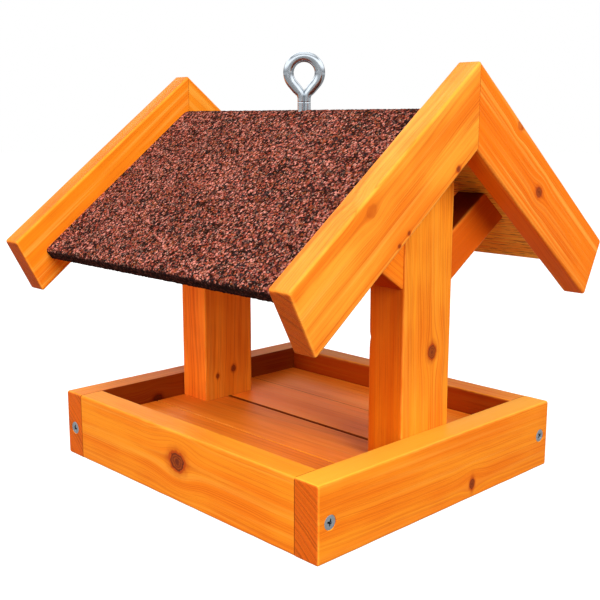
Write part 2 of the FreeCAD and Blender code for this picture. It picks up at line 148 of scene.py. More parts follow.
class BoardSettings(bpy.types.PropertyGroup):
    arris: length("Arris", "Radius of the eased outer edges", 0.0015)
    joint_arris: length("Joint arris", "Radius of the edges at a joint", 0.00035)
    plank_arris: length("Plank arris", "Radius of a plank's top edges", 0.0008)
    sanding: number("Sanding", "How much hand sanding varies an arris", 0.06, min=0, max=0.5)


class FeltSettings(bpy.types.PropertyGroup):
    red: colour("Red granules", "Most of the slate granules", (0.255, 0.046, 0.028))
    pink: colour("Pink granules", "Lightest granules", (0.56, 0.205, 0.160))
    maroon: colour("Maroon granules", "Granules in shadow", (0.060, 0.012, 0.009))
    black: colour("Black granules", "Bitumen between the granules", (0.016, 0.005, 0.003))
    slate: colour("Slate granules", "Bluish dark granules", (0.020, 0.020, 0.024))
    granule: length("Granule", "Mean size of a granule", 0.0013)
    relief: length("Relief", "Height of the granules", 0.0004)


class ZincSettings(bpy.types.PropertyGroup):
    zinc: colour("Zinc", "Bright zinc plate", (0.62, 0.66, 0.69))
    roughness: number("Roughness", "Of the zinc plate", 0.16, min=0, max=1)


class StudioSettings(bpy.types.PropertyGroup):
    lens: number("Lens", "Focal length on a 36 mm sensor", 56.74, unit="CAMERA")
    heading: angle("Heading", "Camera's turn from the ridge's direction", 44.191)
    tilt: angle("Tilt", "Camera's tilt, down is negative", -10.667)
    roll: angle("Roll", "Camera's roll", 0.095)
    place: FloatVectorProperty(
        name="Place", description="Camera's place", default=(-0.38953, -0.39758, 0.20405),
        subtype="TRANSLATION", unit="LENGTH")
    sky: number("Sky", "Brightness of the studio's soft walls", 0.18, min=0)
    front: power("Front", "Power of the soft lamp before the gable", 65)
    left: power("Left", "Power of the high soft lamp at the left", 62)
    low: power("Low", "Power of the low soft lamp at the left", 25)
    back: power("Back", "Power of the soft lamp behind", 8)


class BirdTableSettings(bpy.types.PropertyGroup):
    pine: PointerProperty(type=PineSettings)
    floor: PointerProperty(type=FloorSettings)
    boards: PointerProperty(type=BoardSettings)
    felt: PointerProperty(type=FeltSettings)
    zinc: PointerProperty(type=ZincSettings)
    studio: PointerProperty(type=StudioSettings)


# Shader values


def arithmetic(operation, reflected=False):
    def method(self, other):
        pair = (other, self) if reflected else (self, other)
        return self.paint.maths(operation, *pair)
    return method


class Wire:
    """A value on its way between shader nodes; arithmetic on it adds Math nodes."""

    def __init__(self, paint, socket):
        self.paint = paint
        self.socket = socket

    def __getitem__(self, output):
        """Another output of the same node."""
        return Wire(self.paint, self.socket.node.outputs[output])

    __add__ = __radd__ = arithmetic("ADD")
    __mul__ = __rmul__ = arithmetic("MULTIPLY")
    __sub__ = arithmetic("SUBTRACT")
    __rsub__ = arithmetic("SUBTRACT", reflected=True)
    __truediv__ = arithmetic("DIVIDE")
    __pow__ = arithmetic("POWER")


class Paint:
    """A material or world under construction."""

    def __init__(self, owner):
        self.owner = owner
        owner.use_nodes = True
        self.tree = owner.node_tree
        self.tree.nodes.clear()

    def node(self, kind, settings=None, *values, **named):
        """Adds a node: its type, its settings, then what its sockets get."""
        item = self.tree.nodes.new("ShaderNode" + kind)
        for key, value in (settings or {}).items():
            if key == "stops":
                self.set_stops(item.color_ramp.elements, value)
            else:
                setattr(item, key, value)
        free = [socket for socket in item.inputs if socket.enabled]
        for socket, value in zip(free, values):
            self.feed(socket, value)
        for key, value in named.items():
            self.feed(next(s for s in free if s.name == key.replace("_", " ")), value)
        return Wire(self, next((socket for socket in item.outputs if socket.enabled), None))

    def feed(self, socket, value):
        if isinstance(value, Wire):
            self.tree.links.new(value.socket, socket)
        elif value is not None:
            rgba = socket.type == "RGBA" and len(value) == 3
            socket.default_value = (*value, 1) if rgba else value

    def set_stops(self, elements, stops):
        while len(elements) < len(stops):
            elements.new(1)
        for element, (position, tint) in zip(elements, stops):
            element.position = position
            element.color = (*tint, 1)

    def maths(self, operation, *values):
        return self.node("Math", {"operation": operation}, *values)

    def larger(self, first, second):
        return second if first is None else self.maths("MAXIMUM", first, second)

    def mound(self, du, dv, reach_u, reach_v):
        """One in the middle, fading to nothing over the two reaches."""
        return self.maths("EXPONENT", 0 - (du / reach_u) ** 2 - (dv / reach_v) ** 2)

    def mix(self, amount, first, second, blend="MIX"):
        """Two colours, the second one over the first."""
        return self.node("Mix", {"data_type": "RGBA", "blend_type": blend}, amount, first, second)

    def layered(self, tone, *layers):
        """Colours over a tone. Each has a value, where that starts to show it, where it shows
        all that it can, how much that is, the colour and perhaps a blend."""
        for value, low, high, most, over, *blend in layers:
            amount = self.ramp(value, low, high)
            tone = self.mix(amount if most == 1 else amount * most, tone, over, *blend)
        return tone

    def ramp(self, value, low, high, at_low=0, at_high=1):
        """A soft step from one level to another."""
        return self.node(
            "MapRange", {"interpolation_type": "SMOOTHSTEP"}, value, low, high, at_low, at_high)

    def noise(self, place, scale=1, detail=2, roughness=0.5):
        return self.node(
            "TexNoise", None, Vector=place, Scale=scale, Detail=detail, Roughness=roughness)

    def streaks(self, x, y, z, detail=2, roughness=0.5):
        return self.noise(self.node("CombineXYZ", None, x, y, z), 1, detail, roughness)

    def place(self):
        """The point on the piece, in millimetres."""
        return self.node(
            "VectorMath", {"operation": "SCALE"}, self.node("TexCoord")["Object"], Scale=MM)

    def dot(self, vector, direction):
        return self.node("VectorMath", {"operation": "DOT_PRODUCT"}, vector, tuple(direction))

    def arris(self):
        """One on a rounded edge, which gets a painted highlight; minus one in a tight joint, and in
        a screw recess, which is painted dark as shade.
        """
        return self.node("Attribute", {"attribute_name": "arris"})["Fac"]

    def finish(self, colour, roughness, relief=None, depth=0.0001, strength=1, **constants):
        """Closes the material with its surface shader. Relief is a height from 0 to 1."""
        normal = None
        if relief is not None:
            normal = self.node("Bump", None, Strength=strength, Distance=depth, Height=relief)
        surface = self.node(
            "BsdfPrincipled", None, Base_Color=colour, Roughness=roughness, Normal=normal,
            **constants)
        self.node("OutputMaterial", None, surface)
        return self.owner


def new_paint(name):
    return Paint(bpy.data.materials.new(name))


# Where a length of wood was in its tree: its own axes, its pith and its knots
Grain = namedtuple("Grain", "origin axes pith seed lean knots", defaults=(0.02, ()))

# A knot with less strength than this only reddens the wood
FAINT = 0.4


def stained_wood(
        name, grain, light, deep, latewood, spacing, roughness, pale=(0.80, 0.35, 0.05),
        knot=(0.17, 0.03, 0.008), end_grain=(0.5, 0.12, 0.014), contrast=1.0, lines=0.8,
        streaks=0.4, sheen=0.14, sides=()):
    """Softwood under a translucent stain: rings, rays, knots, end grain and a painted highlight on
    the arrises.
    Sides are faces painted darker or lighter by the way they face, as painted shade and painted
    light: direction, blend, colour and amount."""
    paint = new_paint(name)
    place = paint.place()
    u, v, w = [paint.dot(place, axis) - float(np.dot(grain.origin, axis)) for axis in grain.axes]
    shift = 37.0 * grain.seed

    # The grain swerves round each knot
    bent = v
    heart = dusk = swirl = None
    for at_u, at_v, radius, strength, *tall in grain.knots:
        du = u - at_u
        dv = v - at_v
        stretch = tall[0] if tall else 1.2
        bent = bent - dv * paint.mound(du, dv, radius * 3.2, radius * 2.4) * 0.86
        ripple = paint.noise(paint.node("CombineXYZ", None, u + shift, v, w), 0.35, 2) - 0.5
        ring = paint.maths("SQRT", (du / stretch) ** 2 + dv ** 2) / radius + ripple * 0.6
        core = paint.ramp(ring, 0.90, 1.0, strength, 0)
        rim = paint.ramp(ring, 0.78, 0.98) * paint.ramp(ring, 0.98, 1.3, 1, 0)
        glow = paint.ramp(ring, 0.9, 2.2, 0.6, 0) + rim * 0.8
        reach = (radius * 3, radius * 0.3) if stretch > 1 else (radius * 0.5, radius * 2.2)
        glow = (glow + paint.mound(du, dv, *reach) * 0.45) * min(1.0, 1.5 * strength)
        if strength < FAINT:
            dusk = paint.larger(dusk, paint.larger(glow, core * (2.2 + ripple * 2)))
            continue
        heartline = paint.ramp(ring, 0.06, 0.2, 1, 0)
        rings = paint.maths("SINE", ring * 21) * 0.5 + 0.5 - rim * 0.9 - heartline * 2
        heart = paint.larger(heart, core)
        dusk = paint.larger(dusk, glow)
        swirl = rings if swirl is None else swirl + (rings - swirl) * core

    # Growth rings round the pith
    drift = paint.streaks(u / 70 + shift, bent / 22, w / 22, 3) - 0.5
    wander = paint.streaks(u / 240 + shift, bent / 60, w / 60, 1) - 0.5
    side = bent - float(grain.pith[0]) + wander * 9
    depth = w - float(grain.pith[1]) - u * grain.lean
    distance = paint.maths("SQRT", side ** 2 + depth ** 2) + drift * 3
    pace = paint.node("TexNoise", {"noise_dimensions": "1D"}, W=distance / 7 + shift, Detail=1)
    season = paint.maths("FRACT", distance / spacing + pace * 2.2)
    late = paint.ramp(season, 0.45, 0.9) * paint.ramp(season, 0.9, 1, 1, 0)

    # Stain soaks in unevenly: broad bands, then fine fibres
    band = paint.streaks(u / 160 + shift, bent / 9, w / 9, 3, 0.6)
    patch = paint.streaks(u / 45, v / 30 + shift, w / 30)
    fibre = paint.streaks(u / 26 + shift, bent / 0.55, w / 0.55, 3, 0.65)
    hair = paint.streaks(u / 9, bent / 0.22, w / 0.22 + shift, 1)
    soak = paint.ramp(band * 0.75 + patch * 0.35, 0.40, 0.70)
    tone = paint.mix(soak * (0.8 * contrast), light, deep)
    streak = paint.streaks(u / 210, bent / 4.2 + shift, w / 12, 2, 0.6)
    tone = paint.layered(tone, (streak, 0.5, 0.72, streaks, pale))
    lined = late * paint.ramp(patch + band * 0.4, 0.35, 0.95, 0.10, 0.48) * lines
    tone = paint.layered(
        paint.mix(lined, tone, latewood), (fibre, 0.53, 0.72, 0.26 * contrast, latewood),
        (hair, 0.6, 0.85, 0.12, latewood))

    relief = late * -0.5 + fibre * 0.6 + hair * 0.25
    if heart is not None:
        ember = paint.mix(
            swirl * 0.6, [0.7 * b for b in knot], [0.35 * a + 0.7 * b for a, b in zip(deep, knot)])
        tone = paint.mix(dusk, tone, [0.8 * a + 0.2 * b for a, b in zip(latewood, knot)])
        tone = paint.mix(heart, tone, ember)
        relief = relief - heart * 0.6

    # Sawn ends are darker and show the rings as arcs
    facing = paint.node("NewGeometry")["Normal"]
    sawn = paint.ramp(paint.maths("ABSOLUTE", paint.dot(facing, grain.axes[0])), 0.62, 0.9)
    pores = paint.noise(paint.node("CombineXYZ", None, u, v, w), 2.2, 3, 0.7)
    cut = paint.mix(late * 0.8, end_grain, [0.5 * c for c in end_grain])
    tone = paint.mix(sawn, tone, paint.layered(cut, (pores, 0.4, 0.75, 0.3, light)))

    # Painted shade and painted light on faces turned one way.
    for direction, blend, stain, amount in sides:
        share = paint.ramp(paint.dot(facing, direction), 0.6, 0.9)
        share = share * paint.ramp(patch + late * 0.3, 0.2, 0.7, amount, amount * 0.88)
        tone = paint.mix(share, tone, stain, blend)

    # Rounded arrises get a painted highlight; tight joints hold a dark line of stain.
    arris = paint.arris()
    arris_highlight = arris * paint.ramp(paint.noise(place, 0.12), 0.3, 0.7, 0.2, 0.7)
    tone = paint.mix(arris_highlight * 0.4, tone, (0.80, 0.38, 0.06))
    tone = paint.mix((0 - arris) * 0.8, tone, (0.14, 0.024, 0.005))
    gloss = paint.ramp(band * 0.5 + fibre * 0.5, 0.3, 0.7, roughness - 0.05, roughness + 0.1)
    return paint.finish(tone, gloss, relief, 0.00012, 0.55, Specular_IOR_Level=sheen)


def pine(name, grain, **changes):
    """The stained pine of the settings, with what one piece has of its own."""
    stain = bpy.context.scene.bird_table.pine
    values = {key: tuple(getattr(stain, key))
              for key in ("light", "deep", "latewood", "knot", "end_grain")}
    values.update(spacing=stain.spacing * MM, roughness=stain.roughness)
    return stained_wood(f"stained_pine_{name}", grain, **{**values, **changes})


def zinc(name, dulled=0.0):
    """Zinc plate: faint clouds in the plating, a slightly uneven gloss, painted shade in the
    recesses.
    """
    metal = bpy.context.scene.bird_table.zinc
    base = tuple(metal.zinc)
    paint = new_paint(f"zinc_steel_{name}")
    place = paint.place()
    cloud = paint.noise(place, 0.35, 3)
    speck = paint.noise(place, 0.9)
    tone = paint.layered(base, (cloud, 0.35, 0.7, 0.5, [0.85 * c for c in base]),
                         (speck, 0.55, 0.8, 0.15, [0.7 * c for c in base]))
    # Painted shade: the screw recesses are painted nearly black.
    recess = 0 - paint.arris()
    tone = paint.mix(recess, tone, (0.03, 0.035, 0.04))
    dull = metal.roughness + dulled
    return paint.finish(tone, paint.ramp(cloud + recess, 0.3, 1.4, dull, dull + 0.3), Metallic=1.0)


# Meshes


def new_mesh(name, points, faces):
    """A mesh from points in millimetres, with its faces turned outwards."""
    mesh = bpy.data.meshes.new(name)
    mesh.from_pydata([tuple(p) for p in np.asarray(points) / MM], [], faces)
    tidy = bmesh.new()
    tidy.from_mesh(mesh)
    bmesh.ops.recalc_face_normals(tidy, faces=tidy.faces)
    tidy.to_mesh(mesh)
    tidy.free()
    return mesh


def new_object(name, data):
    item = bpy.data.objects.new(name, data)
    bpy.context.scene.collection.objects.link(item)
    return item


def mesh_piece(name, points, faces, material, weights=None, crease=32):
    """A visible piece: it rides the root and stands for the CAD node of its name."""
    mesh = new_mesh(name, points, faces)
    if weights is not None:
        mesh.attributes.new("arris", "FLOAT", "POINT").data.foreach_set("value", weights)
    mesh.validate()
    mesh.shade_smooth()
    mesh.set_sharp_from_angle(angle=math.radians(crease))
    mesh.materials.append(material)
    piece = new_object(name, mesh)
    piece.modifiers.new("Flat faces", "WEIGHTED_NORMAL").keep_sharp = True
    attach(piece, "root")
    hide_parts(name)
    return piece


def finish_node(node, material):
    """A CAD node that stays gets its material."""
    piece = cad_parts[node]
    piece.data.materials.clear()
    piece.data.materials.append(material)


def tube_faces(rows, ring, capped=True):
    """The faces of a tube from rows of points, each a ring of the same number."""
    faces = []
    for row in range(rows - 1):
        for k in range(ring):
            a, b = row * ring + k, row * ring + (k + 1) % ring
            faces.append((a, b, b + ring, a + ring))
    if capped:
        faces += [tuple(range(ring)), tuple(range((rows - 1) * ring, rows * ring))]
    return faces


def cross_axes(axis):
    """Two directions square to an axis and to each other."""
    aside = np.cross(axis, X if abs(axis @ X) < 0.9 else Y)
    aside /= np.linalg.norm(aside)
    return aside, np.cross(axis, aside)


def lathe(profile, centre=(0, 0, 0), axis=Z, turns=32):
    """A turned solid from (radius, height) points, closed at both ends."""
    aside, third = cross_axes(axis)
    points = [np.array(centre) + height * axis
              + radius * (math.cos(a) * aside + math.sin(a) * third)
              for radius, height in profile for a in 2 * math.pi * np.arange(turns) / turns]
    return points, tube_faces(len(profile), turns)


# Steps in a quarter turn, and the radius above which an arris gets a painted highlight
ARC = 4
HIGHLIGHT_RADIUS = 0.6


def rounded_section(low, high, radii, kinds, inset, eased, splits):
    """Points (v, w) round a section. A wide corner is marked for a painted highlight, a tight one
    holds dark stain.
    Eased says how much of the end's rounding each side gets: low v, high v, low w, high w."""
    v0, v1 = low[0] + inset * eased[0], high[0] - inset * eased[1]
    w0, w1 = low[1] + inset * eased[2], high[1] - inset * eased[3]
    corners = [(v0, w0, 1, 1, 180, 0, 2), (v1, w0, -1, 1, 270, 2, 1),
               (v1, w1, -1, -1, 0, 1, 3), (v0, w1, 1, -1, 90, 3, 0)]
    points, lengthwise, endwise = [], [], []
    for index, (v, w, to_v, to_w, start, first, last) in enumerate(corners):
        radius = max(radii[index] - inset, 0.04)
        for k, a in enumerate(np.radians(start + np.linspace(0, 90, ARC + 1))):
            points.append((v + to_v * radius + radius * math.cos(a),
                           w + to_w * radius + radius * math.sin(a)))
            lengthwise.append(kinds[index] * math.sin(math.pi * k / ARC))
            endwise.append(1 if eased[first if 2 * k < ARC else last] > 0.5 else -1)
        if index in (0, 2):
            points += [(s, w) for s in (splits if index == 0 else reversed(splits))]
            lengthwise += [0] * len(splits)
            endwise += [1] * len(splits)
    return np.array(points), lengthwise, endwise


def stations(span, first, last):
    """Distances from the two ends, how far a section is drawn in there, and its turn."""
    square = math.pi / 2
    turns = np.linspace(0, square, ARC + 1)
    count = max(2, int((span - first - last) / 3))
    between = np.linspace(first, span - last, count + 1)[1:-1]

    def rounding(radius):
        return [(radius * (1 - math.cos(a)), radius * (1 - math.sin(a)), a) for a in turns]

    rows = [(d, span - d, inset, a) for d, inset, a in rounding(first)]
    rows += [(d, span - d, 0, square) for d in between]
    return rows + [(span - d, d, inset, a) for d, inset, a in reversed(rounding(last))]


def planed(axes, low, high, start, end, seed, origin=(0, 0, 0), radii=None, end_radii=(0.2, 0.2),
           eased=(1, 1, 1, 1), splits=(), dents=()):
    """A planed length of wood, from one end cut to the other: points, faces and edge marks.
    A cut is a place along the wood, or a function that gives it for a place across."""
    boards = bpy.context.scene.bird_table.boards
    radii = radii or [boards.arris * MM] * 4
    kinds = [1 if radius > HIGHLIGHT_RADIUS else -1 for radius in radii]
    start, end = [cut if callable(cut) else lambda v, at=cut: at for cut in (start, end)]
    middle = 0.5 * (low[0] + high[0])
    span = end(middle) - start(middle)
    rng = np.random.default_rng(seed + 11)
    waves = rng.uniform(0, 2 * math.pi, (4, 5))
    rates = rng.uniform(0.02, 0.35, (4, 5))
    rows = stations(span, *end_radii)
    points, weights = [], []
    for ahead, astern, inset, turn in rows:
        wear = 1 + boards.sanding * np.sin(rates * ahead + waves).sum(1) / 2.2
        sanded = [r * k for r, k in zip(radii, wear)]
        for at, corner, depth, width in dents:
            sanded[corner] += depth * math.exp(-((ahead - at) / width) ** 2)
        section, lengthwise, endwise = rounded_section(
            low, high, sanded, kinds, inset, eased, splits)
        # An end rounded wider than the highlight radius gets the painted highlight, a tight end the
        # dark joint line.
        worn = end_radii[0 if ahead < astern else 1] > HIGHLIGHT_RADIUS
        share = ahead / span
        for (v, w), side_edge, end_edge in zip(section, lengthwise, endwise):
            front, rear = start(v), end(v)
            u = front + (rear - front) * share
            if inset or share in (0, 1):
                u = front + ahead if ahead < astern else rear - astern
            points.append(np.array((u, v, w)) @ axes + origin)
            end_mark = (end_edge if worn else -1) * math.sin(2 * turn)
            weights.append(max(-1, min(1, end_mark + side_edge * math.sin(turn))))
    ring = len(points) // len(rows)
    faces = tube_faces(len(rows), ring, capped=False)
    for base in (0, (len(rows) - 1) * ring):
        faces += [(base + i, base + i + 1, base + ring - 2 - i, base + ring - 1 - i)
                  for i in range(ring // 2 - 1)]
    return points, faces, weights


def wooden(name, wood, material):
    points, faces, weights = wood
    return mesh_piece(name, points, faces, material, weights)


def cut_away(piece, tools):
    """Takes the tools' shapes out of a piece and removes the tools."""
    def spot(vertex):
        return tuple(round(c * 1e6) for c in vertex.co)

    marks = {}
    if "arris" in piece.data.attributes:
        values = piece.data.attributes["arris"].data
        marks = {spot(v): values[v.index].value for v in piece.data.vertices}
    for tool in tools:
        hollow = piece.modifiers.new("Cut", "BOOLEAN")
        hollow.operation = "DIFFERENCE"
        hollow.solver = "EXACT"
        hollow.object = tool
    bpy.context.view_layer.update()
    seen = piece.evaluated_get(bpy.context.evaluated_depsgraph_get())
    piece.data = mesh = bpy.data.meshes.new_from_object(seen)
    for modifier in [m for m in piece.modifiers if m.type == "BOOLEAN"]:
        piece.modifiers.remove(modifier)
    whole = bmesh.new()
    whole.from_mesh(mesh)
    edges = [e for e in whole.edges
             if any(max(abs(c) for c in f.normal) > 0.999999 for f in e.link_faces)
             and len(e.link_faces) == 2 and e.calc_face_angle() < 0.002]
    bmesh.ops.dissolve_edges(whole, edges=edges)
    whole.to_mesh(mesh)
    whole.free()
    if marks:
        values = [marks.get(spot(v), 0.0) for v in mesh.vertices]
        mesh.attributes["arris"].data.foreach_set("value", values)
    mesh.set_sharp_from_angle(angle=math.radians(32))
    for tool in tools:
        bpy.data.objects.remove(tool)


def tool_object(points, faces):
    return new_object("tool", new_mesh("tool", points, faces))


def countersink(place, inward):
    """A shallow cone under a screw head, a hair wider than the head."""
    profile = [(HEAD_RADIUS + 0.75, -0.6), (HEAD_RADIUS + 0.15, 0), (HEAD_RADIUS + 0.05, 0.25),
               (1.9, 2.6), (1.9, 6)]
    return tool_object(*lathe(profile, place, inward))


def screw_shape(place, inward, turn):
    """A countersunk screw: softly domed head with a cross recess, and a short shank."""
    profile = [(0.02, 0.02), (HEAD_RADIUS * 0.6, 0.06), (HEAD_RADIUS - 0.35, 0.12),
               (HEAD_RADIUS - 0.08, 0.22), (HEAD_RADIUS, 0.44), (1.9, 2.42), (1.9, 8)]
    head = tool_object(*lathe(profile, place, inward, 40))
    aside, third = cross_axes(inward)
    tools = []
    for a in np.radians((turn, turn + 90)):
        long_way = math.cos(a) * aside + math.sin(a) * third
        wide_way = np.cross(inward, long_way)
        corners = [np.array(place) + height * inward + i * span * long_way + j * slot * wide_way
                   for height, span, slot in ((-0.5, 2.2, 0.58), (1.7, 1.15, 0.34))
                   for i, j in ((-1, -1), (1, -1), (1, 1), (-1, 1))]
        tools.append(tool_object(corners, tube_faces(2, 4)))
    tools.append(tool_object(*lathe([(1.0, -0.5), (0.95, 0.4), (0.25, 2.0)], place, inward, 20)))
    cut_away(head, tools)
    return head


def screw_direction(place):
    """Into the board that a corner screw is driven through."""
    if abs(place[0]) > 95:
        return -np.sign(place[0]) * X
    return -np.sign(place[1]) * Y


def screw_set(name, places):
    """The screws of one CAD group, as one piece."""
    points, faces, weights = [], [], []
    for index, place in enumerate(places):
        inward = screw_direction(place)
        head = screw_shape(place, inward, 14 + 37 * index)
        base = len(points)
        spots = [np.array(v.co) * MM for v in head.data.vertices]
        points += spots
        # Points sunk below the head's face are marked for the painted recess shade.
        weights += [-1.0 if (spot - place) @ inward > 0.3 else 0.0 for spot in spots]
        faces += [tuple(base + k for k in polygon.vertices) for polygon in head.data.polygons]
        bpy.data.objects.remove(head)
    mesh_piece(name, points, faces, zinc(name, 0.22), weights)


# Operators


class BIRD_TABLE_OT_stage(bpy.types.Operator):
    """Camera, pale floor and soft studio light"""
    bl_idname = "bird_table.stage"
    bl_label = "Stage"

    # Height, from straight down to straight up, and how bright the studio is there
    WALLS = [(0.0, 0.6), (0.44, 0.7), (0.5, 0.9), (0.56, 1.0), (0.8, 1.0), (1.0, 1.1)]
    GLINTS = [(0.0, 0.2), (0.42, 0.35), (0.5, 0.9), (0.54, 0.25), (0.6, 0.6), (0.66, 1.6),
              (0.8, 1.6), (0.88, 0.3), (0.94, 1.2), (1.0, 1.4)]

    def execute(self, context):
        studio = context.scene.bird_table.studio
        context.scene.view_settings.view_transform = "Standard"
        self.camera(context.scene, studio)
        self.floor()
        self.room(context.scene, studio)
        self.lamp("front_lamp", (-0.432, -2.033, 1.3), studio.front, 1.5)
        self.lamp("left_lamp", (-1.356, -0.239, 2.066), studio.left, 2.2)
        self.lamp("low_lamp", (-2.119, -0.45, 0.482), studio.low, 1.2)
        self.lamp("back_lamp", (1.034, 1.476, 1.362), studio.back, 1.6, mirrored=True)
        return {"FINISHED"}

    def camera(self, scene, studio):
        heading, tilt, roll = studio.heading, studio.tilt, studio.roll
        ahead = Vector((math.sin(heading) * math.cos(tilt), math.cos(heading) * math.cos(tilt),
                        math.sin(tilt)))
        level = Vector((math.cos(heading), -math.sin(heading), 0))
        upward = level.cross(ahead)
        right = math.cos(roll) * level + math.sin(roll) * upward
        up = math.cos(roll) * upward - math.sin(roll) * level
        data = bpy.data.cameras.new("camera")
        data.lens = studio.lens
        data.sensor_width = 36
        data.clip_start = 0.01
        scene.camera = new_object("camera", data)
        turn = Matrix((right, up, -ahead)).transposed().to_4x4()
        scene.camera.matrix_world = Matrix.Translation(studio.place) @ turn

    def floor(self):
        """Seen directly the floor is nearly white; it throws only a little warm light back."""
        paint = new_paint("studio_floor")
        ray = paint.node("LightPath")
        mirrored, direct = ray["Is Glossy Ray"], ray["Is Camera Ray"]
        shade = paint.mix(mirrored, (0.22, 0.10, 0.04), (0.10, 0.10, 0.10))
        glow = paint.mix(mirrored, (0, 0, 0), (0.22, 0.23, 0.24))
        material = paint.finish(
            paint.mix(direct, shade, (0.30, 0.30, 0.30)), 0.9, Specular_IOR_Level=0.0,
            Emission_Color=paint.mix(direct, glow, (0.96, 0.96, 0.96)), Emission_Strength=1.0)
        material.cycles.emission_sampling = "NONE"
        mesh = new_mesh("studio_floor", *lathe([(6000, -2), (6000, 0)], turns=96))
        mesh.materials.append(material)
        new_object("studio_floor", mesh)

    def room(self, scene, studio):
        """Soft warm walls. Metal mirrors bands of light instead, and is dark at its outline."""
        scene.world = world = bpy.data.worlds.new("studio")
        world.cycles.sampling_method = "NONE"
        paint = Paint(world)
        direction = paint.node("TexCoord")["Generated"]
        height = paint.node("MapRange", None, paint.node("SeparateXYZ", None, direction)["Z"], -1)
        behind = paint.dot(direction, (0.685, 0.705, -0.185))
        outline = paint.node("MapRange", None, behind, 0.45, 0.9, 1.0, 0.25)
        walls, glints = [
            paint.node("ValToRGB", {"stops": [(at, [level * c for c in tint])
                                              for at, level in bands]}, height)
            for tint, bands in (((1, 0.88, 0.75), self.WALLS), ((1, 1.03, 1.07), self.GLINTS))]
        soft = paint.node("Background", None, Color=walls, Strength=studio.sky)
        seen = paint.node("Background", None, Color=glints, Strength=outline)
        plain = paint.node("Background", None, Color=(1, 1, 1))
        ray = paint.node("LightPath")
        mirrored = paint.node("MixShader", None, ray["Is Glossy Ray"], soft, seen)
        direct = paint.node("MixShader", None, ray["Is Camera Ray"], mirrored, plain)
        paint.node("OutputWorld", None, direct)

    def lamp(self, name, place, watts, size, mirrored=False):
        data = bpy.data.lights.new(name, "AREA")
        data.energy = watts
        data.shape = "DISK"
        data.size = size
        lamp = new_object(name, data)
        lamp.location = place
        lamp.visible_glossy = mirrored
        aim = Vector((0, 0, 0.1)) - lamp.location
        lamp.rotation_euler = aim.to_track_quat("-Z", "Y").to_euler()


class BIRD_TABLE_OT_tray_boards(bpy.types.Operator):
    """Two end boards at full width, with the side boards between them"""
    bl_idname = "bird_table.tray_boards"
    bl_label = "Tray Boards"

    # Pith, knots, painted shade on the inner face, and how much painted light the top gets
    BOARDS = {
        ("end", "front", -1): (
            (-64, 70), ((22.5, 8.1, 2.9, 0.95, 0.75),), (0.44, 0.20, 0.30), 0.95),
        ("end", "back", 1): ((-38, 52), ((-41, 26, 2.9, 0.8),), (0.20, 0.045, 0.06), 0),
        ("side", "left", -1): ((74, 20), ((-2.5, 23.3, 5.2, 1.0),), (0.30, 0.08, 0.08), 0.3),
        ("side", "right", 1): (
            (-55, -48), ((48, 14, 2.2, 0.8), (-37, 30, 1.6, 0.6)), (0.45, 0.135, 0.10), 0),
    }
    PAINTED_TOP_LIGHT = (0.86, 0.37, 0.03)

    def execute(self, context):
        boards = context.scene.bird_table.boards
        soft, tight = boards.arris * MM, boards.joint_arris * MM
        for seed, ((kind, hand, outward), looks) in enumerate(self.BOARDS.items()):
            name = f"tray_{kind}_board_{hand}"
            low, high = extent(name)
            if kind == "end":
                axes, u, w = (X, Z, Y), 0, 1
                shape = {"radii": [soft, soft, tight, tight][::-outward],
                         "end_radii": (1.1, 1.1), "eased": (1, 1) + (1, 0.3)[::-outward]}
            else:
                axes, u, w = (Y, Z, X), 1, 0
                shape = {"end_radii": (tight, tight)}
            wood = planed(axes, low[[2, w]], high[[2, w]], low[u], high[u], seed, **shape)
            pith, knots, inside, top = looks
            # The inner face gets painted shade, a lit top painted light.
            sides = [(-outward * axes[2], "MULTIPLY", inside, 1.0)]
            if top:
                sides.append((Z, "MIX", self.PAINTED_TOP_LIGHT, top))
            grain = Grain((low + high) / 2 * axes[2], axes, pith, seed + 1, knots=knots)
            piece = wooden(name, wood, pine(
                name, grain, sides=sides, contrast=0.85, lines=0.8, streaks=0.3))
            if kind == "end":
                places = [p for group in SCREW_PLACES.values() for p in group if p[1] * outward > 0]
                cut_away(piece, [countersink(p, screw_direction(p)) for p in places])
        return {"FINISHED"}


